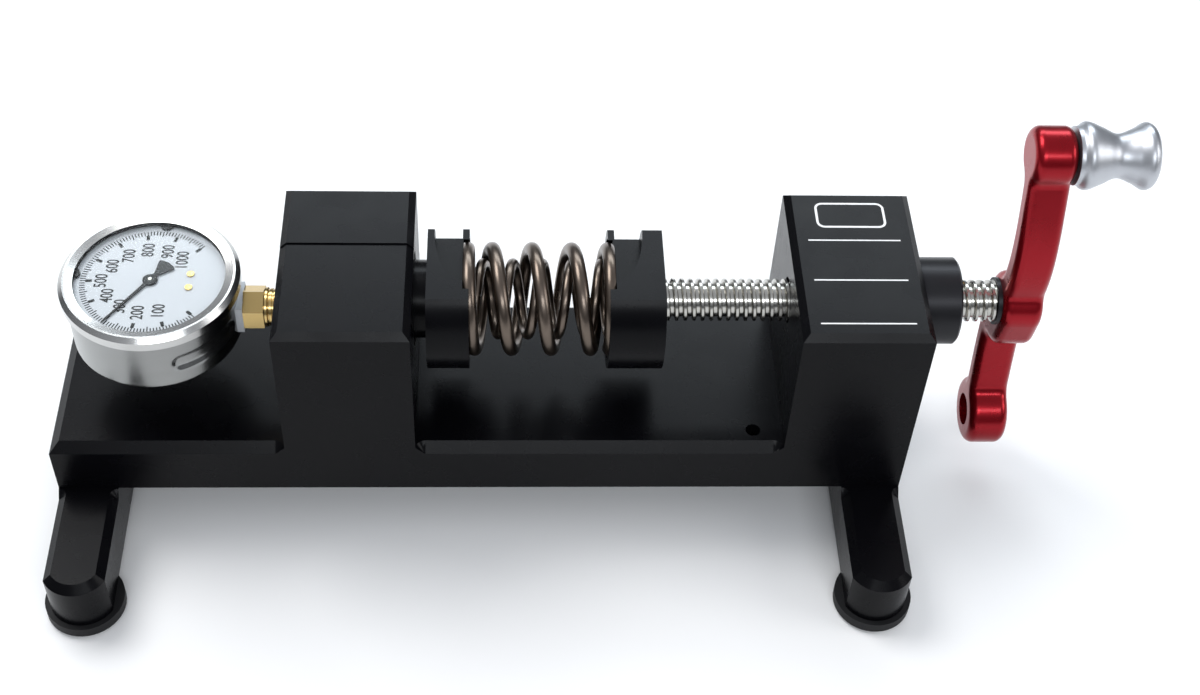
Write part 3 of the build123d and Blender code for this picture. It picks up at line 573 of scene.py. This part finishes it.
# ---------------------------------------------------------------- rings on the brass fitting
HEX_LENGTH = 7.4 * MM
RING_COUNT = 4
RING_VALLEY, RING_GROOVE = 5 * MM, 0.6 * MM
FIRST_CROWN, OTHER_CROWN = 7.3 * MM, 6.9 * MM
ring_start = stem_high.x + HEX_LENGTH
ring_end = left_tower_low.x
ring_profile = [(ring_start, RING_VALLEY)]
ring_pitch = (ring_end - ring_start) / RING_COUNT
for k in range(RING_COUNT):
    x = ring_start + k * ring_pitch
    crown = OTHER_CROWN if k else FIRST_CROWN
    ring_profile += [(x + 0.04 * ring_pitch, crown - RING_GROOVE), (x + 0.25 * ring_pitch, crown)]
    ring_profile += [(x + 0.75 * ring_pitch, crown), (x + 0.96 * ring_pitch, crown - RING_GROOVE)]
ring_profile.append((ring_end, RING_VALLEY))
rings = mesh("fitting_rings", *lathe(ring_profile, (0, 0, stem_mid.z), "X", 64))
wear(rings, "brass")
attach(rings, "frame")


# ---------------------------------------------------------------- plain white engraving on the right tower
def rounded(width, depth, radius, steps=6):
    """Outline of a rounded rectangle about the origin."""
    corners = []
    for cx, cy, first in ((1, 1, 0), (-1, 1, 1), (-1, -1, 2), (1, -1, 3)):
        for k in range(steps + 1):
            turn = (first + k / steps) * pi / 2
            corners.append((cx * (width / 2 - radius) + radius * cos(turn),
                            cy * (depth / 2 - radius) + radius * sin(turn)))
    return corners


def frame_line(width, depth, radius, line, z0, z1, place):
    """A rounded rectangle drawn as a thin raised line."""
    wide = rounded(width, depth, radius)
    slim = rounded(width - 2 * line, depth - 2 * line, max(radius - line, 0.1 * MM))
    count = len(wide)
    points = [place @ Vector((x, y, z)) for z in (z0, z1) for ring in (wide, slim) for x, y in ring]
    faces = []
    for i in range(count):
        after = (i + 1) % count
        faces.append((i, after, count + after, count + i))
        faces.append((2 * count + i, 2 * count + after, 3 * count + after, 3 * count + i))
        faces.append((i, after, 2 * count + after, 2 * count + i))
        faces.append((count + i, count + after, 3 * count + after, 3 * count + i))
    return points, faces


FRAME_SIZE = (26 * MM, 13 * MM)
FRAME_CORNER, FRAME_LINE, FRAME_Y = 3 * MM, 0.9 * MM, 24 * MM
LINE_HALF, LINE_HALF_WIDTH = 17 * MM, 0.3 * MM
LINE_PLACES = (11 * MM, -9 * MM, -30 * MM)
MARK_HEIGHT = 0.05 * MM
tower_mid_x = (right_tower_low.x + right_tower_high.x) / 2
mark_z0 = right_tower_high.z
mark_z1 = mark_z0 + MARK_HEIGHT
stroke = [(-LINE_HALF, -LINE_HALF_WIDTH), (LINE_HALF, -LINE_HALF_WIDTH), (LINE_HALF, LINE_HALF_WIDTH),
          (-LINE_HALF, LINE_HALF_WIDTH)]
mark_parts = [frame_line(*FRAME_SIZE, FRAME_CORNER, FRAME_LINE, mark_z0, mark_z1,
                         Matrix.Translation((tower_mid_x, FRAME_Y, 0)))]
for line_y in LINE_PLACES:
    mark_parts.append(slab(stroke, mark_z0, mark_z1, Matrix.Translation((tower_mid_x, line_y, 0))))
engraving = mesh("plain_engraving", *join(mark_parts), smooth=False)
engraving.data.materials.append(white_print)
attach(engraving, "frame")


# ---------------------------------------------------------------- softened edges on the machined blocks
BEVEL_FROM = radians(28)   # only edges sharper than this are broken
BLOCK_BREAK, NUT_BREAK = 0.35 * MM, 0.3 * MM
blocks = ("base_plate", "left_tower", "right_tower", "left_leg_bar", "right_leg_bar", "left_cup",
          "right_cup")


def soften(node, width):
    """Breaks the sharp edges of a CAD node by a small bevel."""
    bevel = nodes[node].modifiers.new("broken edges", "BEVEL")
    bevel.width = width
    bevel.segments = 2
    bevel.limit_method = "ANGLE"
    bevel.angle_limit = BEVEL_FROM
    bevel.harden_normals = True


for node in blocks:
    soften(node, BLOCK_BREAK)
soften("flange_nut", NUT_BREAK)


# ---------------------------------------------------------------- floor, lights and camera
FLOOR_SIZE = 6
bpy.ops.mesh.primitive_plane_add(size=FLOOR_SIZE, location=(0, 0, 0))
floor = bpy.context.object
floor.name = "floor"
pale_floor = shader("pale_floor", (0.88, 0.88, 0.88), 0, 0.7, (0.90, 0.90, 0.90), patch=2)
floor.data.materials.append(pale_floor)


def softbox(name, place, target, width, depth, power, tint=(1, 1, 1)):
    """A rectangular area light that faces a point."""
    light = bpy.data.lights.new(name, "AREA")
    light.shape = "RECTANGLE"
    light.size, light.size_y = width, depth
    light.energy = power
    light.color = tint
    made = bpy.data.objects.new(name, light)
    made.location = place
    made.rotation_euler = (Vector(target) - Vector(place)).to_track_quat("-Z", "Y").to_euler()
    bpy.context.scene.collection.objects.link(made)


middle = (0, 0, 0.08)
softbox("key", (-0.55, 0.30, 1.05), middle, 0.6, 0.6, 8.5)
softbox("rear", (0.15, 1.10, 1.05), middle, 1.4, 0.4, 11, (0.86, 0.94, 1))
softbox("front", (0.10, -0.95, 0.95), middle, 0.9, 0.22, 5.5, (0.92, 0.96, 1))
softbox("side", (1.05, -0.25, 0.60), middle, 0.5, 0.5, 3)

LOW_SKY, HIGH_SKY = (0.16, 0.17, 0.18, 1), (0.86, 0.89, 0.95, 1)
SKY_STRENGTH = 0.6
world = bpy.data.worlds.new("studio")
world.use_nodes = True
sky = world.node_tree
direction = sky.nodes.new("ShaderNodeTexCoord")
height = sky.nodes.new("ShaderNodeSeparateXYZ")
sky.links.new(direction.outputs["Generated"], height.inputs[0])
dome = sky.nodes.new("ShaderNodeValToRGB")
dome.color_ramp.elements[0].position = 0.05
dome.color_ramp.elements[0].color = LOW_SKY
dome.color_ramp.elements[1].position = 0.75
dome.color_ramp.elements[1].color = HIGH_SKY
sky.links.new(height.outputs["Z"], dome.inputs[0])
sky.links.new(dome.outputs[0], sky.nodes["Background"].inputs["Color"])
sky.nodes["Background"].inputs["Strength"].default_value = SKY_STRENGTH
bpy.context.scene.world = world

FOCAL_PER_WIDTH = 1.5234
SENSOR_WIDTH = 36
PITCH, YAW, ROLL = radians(48.632), radians(4.6), radians(3.579)
EYE_FROM_CORNER = Vector((0.166197, -0.418811, 0.533595))  # from the plate's top front left corner
eye = Vector((plate_low.x, plate_low.y, plate_high.z)) + EYE_FROM_CORNER
ahead = Vector((sin(YAW) * cos(PITCH), cos(YAW) * cos(PITCH), -sin(PITCH)))
level = Vector((cos(YAW), -sin(YAW), 0))
upward = level.cross(ahead)
right = level * cos(ROLL) + upward * sin(ROLL)
top = -level * sin(ROLL) + upward * cos(ROLL)
lens = bpy.data.cameras.new("camera")
lens.sensor_fit = "HORIZONTAL"
lens.sensor_width = SENSOR_WIDTH
lens.lens = SENSOR_WIDTH * FOCAL_PER_WIDTH
lens.clip_start = 0.01
camera = bpy.data.objects.new("camera", lens)
camera.matrix_world = Matrix.Translation(eye) @ Matrix((right, top, -ahead)).transposed().to_4x4()
bpy.context.scene.collection.objects.link(camera)
bpy.context.scene.camera = camera
bpy.context.scene.view_settings.view_transform = "Standard"
